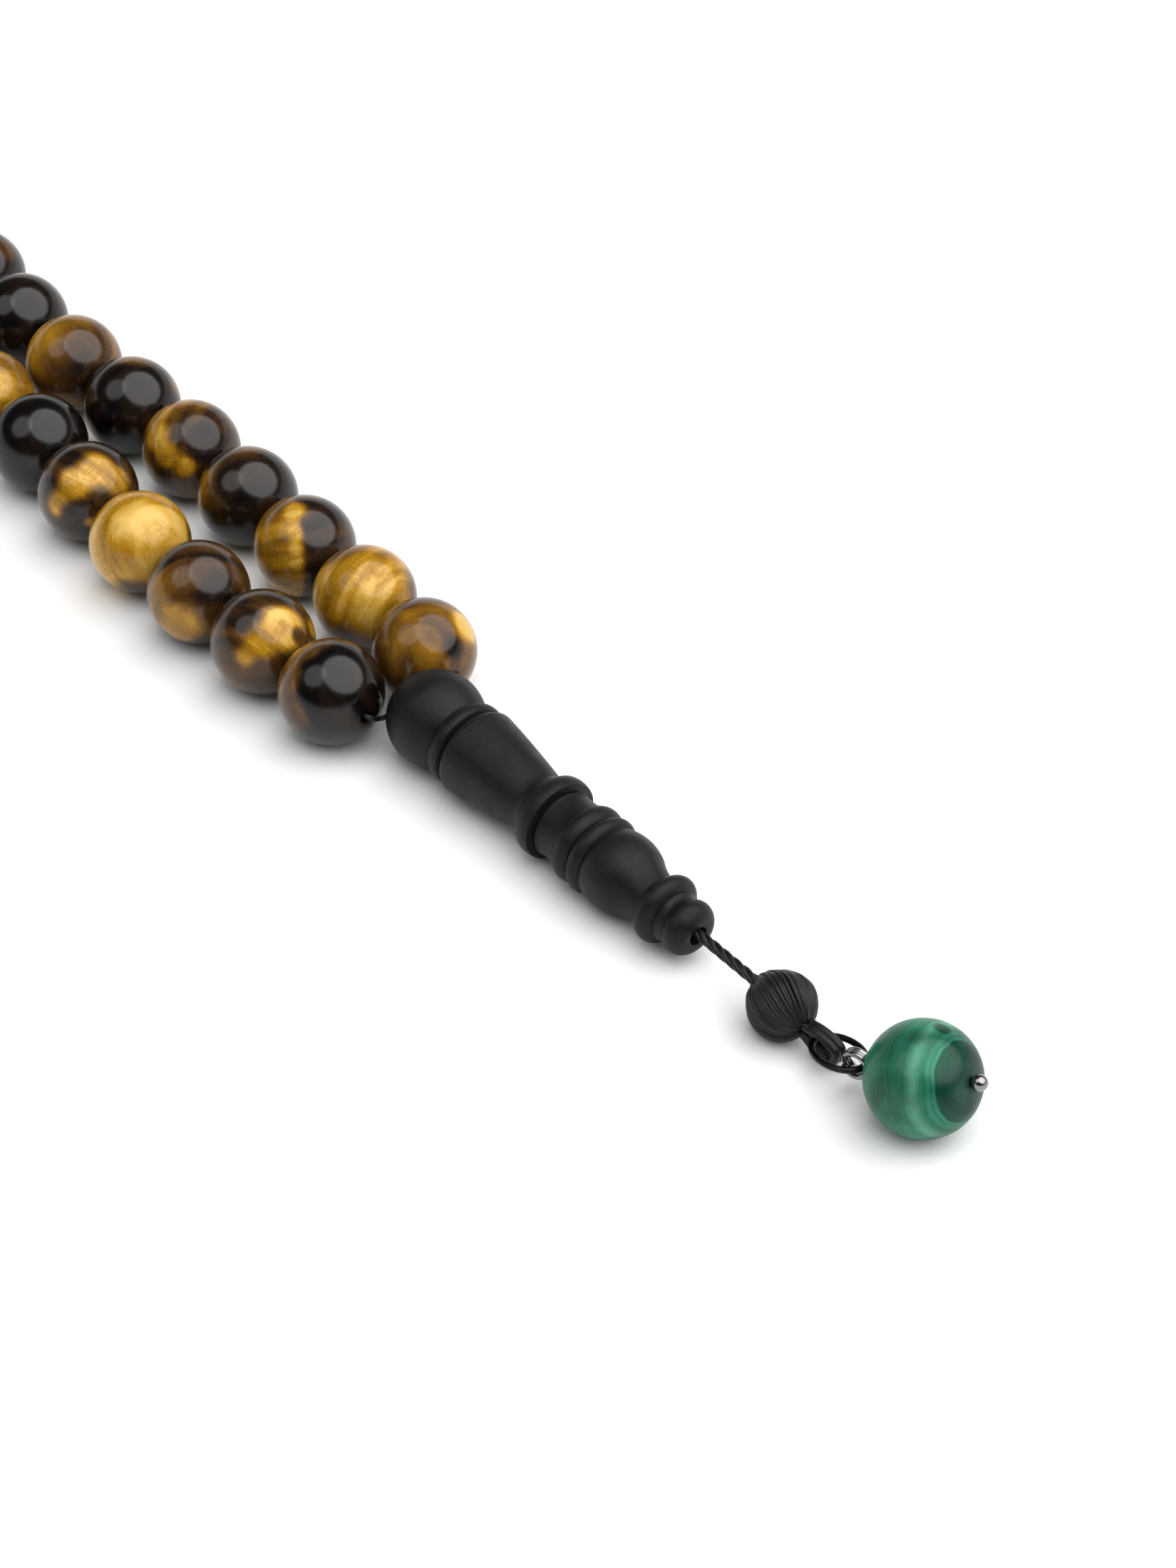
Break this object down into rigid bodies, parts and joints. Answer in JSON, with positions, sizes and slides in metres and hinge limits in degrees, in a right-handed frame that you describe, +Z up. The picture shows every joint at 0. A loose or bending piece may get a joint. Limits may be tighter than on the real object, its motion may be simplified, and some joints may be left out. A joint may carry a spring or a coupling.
{
  "type": "misbaha prayer beads",
  "caption": "Closed string of polished stone prayer beads with pause beads, gathered by a turned leader bead and ending in a wrapped ball, cord loop, ring and pendant bead.",
  "frame": {"origin": "on the table, under the centre of the bounding box", "axes": "+X along the piece from the far end of the loop to the pendant, +Z up, +Y across to the side away from the viewer"},
  "size_m": [0.2468, 0.0534, 0.0101],
  "materials": {
    "tigers_eye": "polished banded stone, golden brown",
    "malachite": "polished banded stone, green",
    "turned_black": "satin black, lathe turned",
    "black_cord": "waxed black thread",
    "black_wire": "satin black plated wire",
    "gunmetal": "polished dark plated wire",
    "core_wood": "plain turned wood, hidden"
  },
  "bodies": {
    "string": {"loop_string": "black_cord", "tail_cord": "black_cord", "wrap_core": "core_wood", "thread_wrap": "black_cord", "cord_loop": "black_cord"},
    "imame": {"imame": "turned_black"},
    "ring": {"jump_ring": "black_wire"},
    "headpin": {"headpin": "gunmetal"},
    "pendant": {"pendant_bead": "malachite"},
    "far_bead_01": {"far_bead_01": "tigers_eye"},
    "far_bead_02": {"far_bead_02": "tigers_eye"},
    "far_bead_03": {"far_bead_03": "tigers_eye"},
    "far_bead_04": {"far_bead_04": "tigers_eye"},
    "far_bead_05": {"far_bead_05": "tigers_eye"},
    "far_bead_06": {"far_bead_06": "tigers_eye"},
    "far_bead_07": {"far_bead_07": "tigers_eye"},
    "far_bead_08": {"far_bead_08": "tigers_eye"},
    "far_bead_09": {"far_bead_09": "tigers_eye"},
    "far_bead_10": {"far_bead_10": "tigers_eye"},
    "far_bead_11": {"far_bead_11": "tigers_eye"},
    "far_pause_bead": {"far_pause_bead": "turned_black"},
    "middle_bead_01": {"middle_bead_01": "tigers_eye"},
    "middle_bead_02": {"middle_bead_02": "tigers_eye"},
    "middle_bead_03": {"middle_bead_03": "tigers_eye"},
    "middle_bead_04": {"middle_bead_04": "tigers_eye"},
    "middle_bead_05": {"middle_bead_05": "tigers_eye"},
    "middle_bead_06": {"middle_bead_06": "tigers_eye"},
    "middle_bead_07": {"middle_bead_07": "tigers_eye"},
    "middle_bead_08": {"middle_bead_08": "tigers_eye"},
    "middle_bead_09": {"middle_bead_09": "tigers_eye"},
    "middle_bead_10": {"middle_bead_10": "tigers_eye"},
    "middle_bead_11": {"middle_bead_11": "tigers_eye"},
    "near_bead_01": {"near_bead_01": "tigers_eye"},
    "near_bead_02": {"near_bead_02": "tigers_eye"},
    "near_bead_03": {"near_bead_03": "tigers_eye"},
    "near_bead_04": {"near_bead_04": "tigers_eye"},
    "near_bead_05": {"near_bead_05": "tigers_eye"},
    "near_bead_06": {"near_bead_06": "tigers_eye"},
    "near_bead_07": {"near_bead_07": "tigers_eye"},
    "near_bead_08": {"near_bead_08": "tigers_eye"},
    "near_bead_09": {"near_bead_09": "tigers_eye"},
    "near_bead_10": {"near_bead_10": "tigers_eye"},
    "near_bead_11": {"near_bead_11": "tigers_eye"},
    "near_pause_bead": {"near_pause_bead": "turned_black"}
  },
  "joints": [
    {"name": "far_bead_01_spin", "type": "hinge", "parent": "string", "child": "far_bead_01", "pos_m": [0.04699, 0.00445, 0.005], "axis": [-0.9962, 0.0872, 0], "continuous": true},
    {"name": "far_bead_02_spin", "type": "hinge", "parent": "string", "child": "far_bead_02", "pos_m": [0.03695, 0.00515, 0.005], "axis": [-0.9986, 0.0523, 0], "continuous": true},
    {"name": "far_bead_03_spin", "type": "hinge", "parent": "string", "child": "far_bead_03", "pos_m": [0.0269, 0.00559, 0.005], "axis": [-0.9994, 0.0349, 0], "continuous": true},
    {"name": "far_bead_04_spin", "type": "hinge", "parent": "string", "child": "far_bead_04", "pos_m": [0.01686, 0.00612, 0.005], "axis": [-0.9976, 0.0698, 0], "continuous": true},
    {"name": "far_bead_05_spin", "type": "hinge", "parent": "string", "child": "far_bead_05", "pos_m": [0.0068, 0.00647, 0.005], "axis": [-1, 0, 0], "continuous": true},
    {"name": "far_bead_06_spin", "type": "hinge", "parent": "string", "child": "far_bead_06", "pos_m": [-0.00326, 0.00629, 0.005], "axis": [-0.9994, -0.0349, 0], "continuous": true},
    {"name": "far_bead_07_spin", "type": "hinge", "parent": "string", "child": "far_bead_07", "pos_m": [-0.01331, 0.00603, 0.005], "axis": [-0.9998, -0.0175, 0], "continuous": true},
    {"name": "far_bead_08_spin", "type": "hinge", "parent": "string", "child": "far_bead_08", "pos_m": [-0.02337, 0.0062, 0.005], "axis": [-0.9986, 0.0523, 0], "continuous": true},
    {"name": "far_bead_09_spin", "type": "hinge", "parent": "string", "child": "far_bead_09", "pos_m": [-0.03334, 0.00752, 0.005], "axis": [-0.9781, 0.2079, 0], "continuous": true},
    {"name": "far_bead_10_spin", "type": "hinge", "parent": "string", "child": "far_bead_10", "pos_m": [-0.04311, 0.00995, 0.005], "axis": [-0.9613, 0.2756, 0], "continuous": true},
    {"name": "far_bead_11_spin", "type": "hinge", "parent": "string", "child": "far_bead_11", "pos_m": [-0.05273, 0.01289, 0.005], "axis": [-0.9511, 0.309, 0], "continuous": true},
    {"name": "far_pause_bead_spin", "type": "hinge", "parent": "string", "child": "far_pause_bead", "pos_m": [-0.06085, 0.01559, 0.005], "axis": [-0.9455, 0.3256, 0], "continuous": true},
    {"name": "middle_bead_01_spin", "type": "hinge", "parent": "string", "child": "middle_bead_01", "pos_m": [-0.06902, 0.01813, 0.005], "axis": [-0.9613, 0.2756, 0], "continuous": true},
    {"name": "middle_bead_02_spin", "type": "hinge", "parent": "string", "child": "middle_bead_02", "pos_m": [-0.07881, 0.02048, 0.005], "axis": [-0.9816, 0.1908, 0], "continuous": true},
    {"name": "middle_bead_03_spin", "type": "hinge", "parent": "string", "child": "middle_bead_03", "pos_m": [-0.08879, 0.02171, 0.005], "axis": [-0.9986, 0.0523, 0], "continuous": true},
    {"name": "middle_bead_04_spin", "type": "hinge", "parent": "string", "child": "middle_bead_04", "pos_m": [-0.09882, 0.02092, 0.005], "axis": [-0.9781, -0.2079, 0], "continuous": true},
    {"name": "middle_bead_05_spin", "type": "hinge", "parent": "string", "child": "middle_bead_05", "pos_m": [-0.10815, 0.01715, 0.005], "axis": [-0.848, -0.5299, 0], "continuous": true},
    {"name": "middle_bead_06_spin", "type": "hinge", "parent": "string", "child": "middle_bead_06", "pos_m": [-0.11526, 0.01003, 0.005], "axis": [-0.5299, -0.848, 0], "continuous": true},
    {"name": "middle_bead_07_spin", "type": "hinge", "parent": "string", "child": "middle_bead_07", "pos_m": [-0.11837, 0.00047, 0.005], "axis": [-0.0698, -0.9976, 0], "continuous": true},
    {"name": "middle_bead_08_spin", "type": "hinge", "parent": "string", "child": "middle_bead_08", "pos_m": [-0.11662, -0.00944, 0.005], "axis": [0.4067, -0.9135, 0], "continuous": true},
    {"name": "middle_bead_09_spin", "type": "hinge", "parent": "string", "child": "middle_bead_09", "pos_m": [-0.11043, -0.01737, 0.005], "axis": [0.788, -0.6157, 0], "continuous": true},
    {"name": "middle_bead_10_spin", "type": "hinge", "parent": "string", "child": "middle_bead_10", "pos_m": [-0.10127, -0.02154, 0.005], "axis": [0.9816, -0.1908, 0], "continuous": true},
    {"name": "middle_bead_11_spin", "type": "hinge", "parent": "string", "child": "middle_bead_11", "pos_m": [-0.09122, -0.02171, 0.005], "axis": [0.9877, 0.1564, 0], "continuous": true},
    {"name": "near_bead_01_spin", "type": "hinge", "parent": "string", "child": "near_bead_01", "pos_m": [0.04623, -0.0059, 0.005], "axis": [-0.9986, -0.0523, 0], "continuous": true},
    {"name": "near_bead_02_spin", "type": "hinge", "parent": "string", "child": "near_bead_02", "pos_m": [0.03618, -0.00634, 0.005], "axis": [-0.9994, -0.0349, 0], "continuous": true},
    {"name": "near_bead_03_spin", "type": "hinge", "parent": "string", "child": "near_bead_03", "pos_m": [0.02612, -0.00652, 0.005], "axis": [-1, 0, 0], "continuous": true},
    {"name": "near_bead_04_spin", "type": "hinge", "parent": "string", "child": "near_bead_04", "pos_m": [0.01606, -0.00625, 0.005], "axis": [-0.9986, 0.0523, 0], "continuous": true},
    {"name": "near_bead_05_spin", "type": "hinge", "parent": "string", "child": "near_bead_05", "pos_m": [0.00603, -0.00547, 0.005], "axis": [-0.9945, 0.1045, 0], "continuous": true},
    {"name": "near_bead_06_spin", "type": "hinge", "parent": "string", "child": "near_bead_06", "pos_m": [-0.00399, -0.00459, 0.005], "axis": [-0.9976, 0.0698, 0], "continuous": true},
    {"name": "near_bead_07_spin", "type": "hinge", "parent": "string", "child": "near_bead_07", "pos_m": [-0.01405, -0.00432, 0.005], "axis": [-0.9998, -0.0175, 0], "continuous": true},
    {"name": "near_bead_08_spin", "type": "hinge", "parent": "string", "child": "near_bead_08", "pos_m": [-0.02407, -0.0052, 0.005], "axis": [-0.9877, -0.1564, 0], "continuous": true},
    {"name": "near_bead_09_slide", "type": "slide", "parent": "string", "child": "near_bead_09", "axis": [0.9794, 0.202, 0], "range_m": [0, 0.02191]},
    {"name": "near_bead_10_spin", "type": "hinge", "parent": "string", "child": "near_bead_10", "pos_m": [-0.06528, -0.01368, 0.005], "axis": [0.9703, 0.2419, 0], "continuous": true},
    {"name": "near_bead_11_spin", "type": "hinge", "parent": "string", "child": "near_bead_11", "pos_m": [-0.07488, -0.0167, 0.005], "axis": [0.9336, 0.3584, 0], "continuous": true},
    {"name": "near_pause_bead_spin", "type": "hinge", "parent": "string", "child": "near_pause_bead", "pos_m": [-0.08289, -0.01971, 0.005], "axis": [0.9397, 0.342, 0], "continuous": true},
    {"name": "imame_slide", "type": "slide", "parent": "string", "child": "imame", "axis": [0.9995, 0, -0.0323], "range_m": [0, 0.0072]},
    {"name": "ring_swing", "type": "hinge", "parent": "string", "child": "ring", "pos_m": [0.10647, -0.00044, 0.0021], "axis": [0, 1, 0], "range_deg": [-12, 12]},
    {"name": "pendant_swing", "type": "hinge", "parent": "ring", "child": "headpin", "pos_m": [0.11197, -0.00044, 0.00294], "axis": [0, 1, 0], "range_deg": [-20, 20]},
    {"name": "pendant_bead_spin", "type": "hinge", "parent": "headpin", "child": "pendant", "pos_m": [0.11767, 0.00103, 0.00505], "axis": [0.8682, 0.2326, 0.4384], "continuous": true}
  ]
}
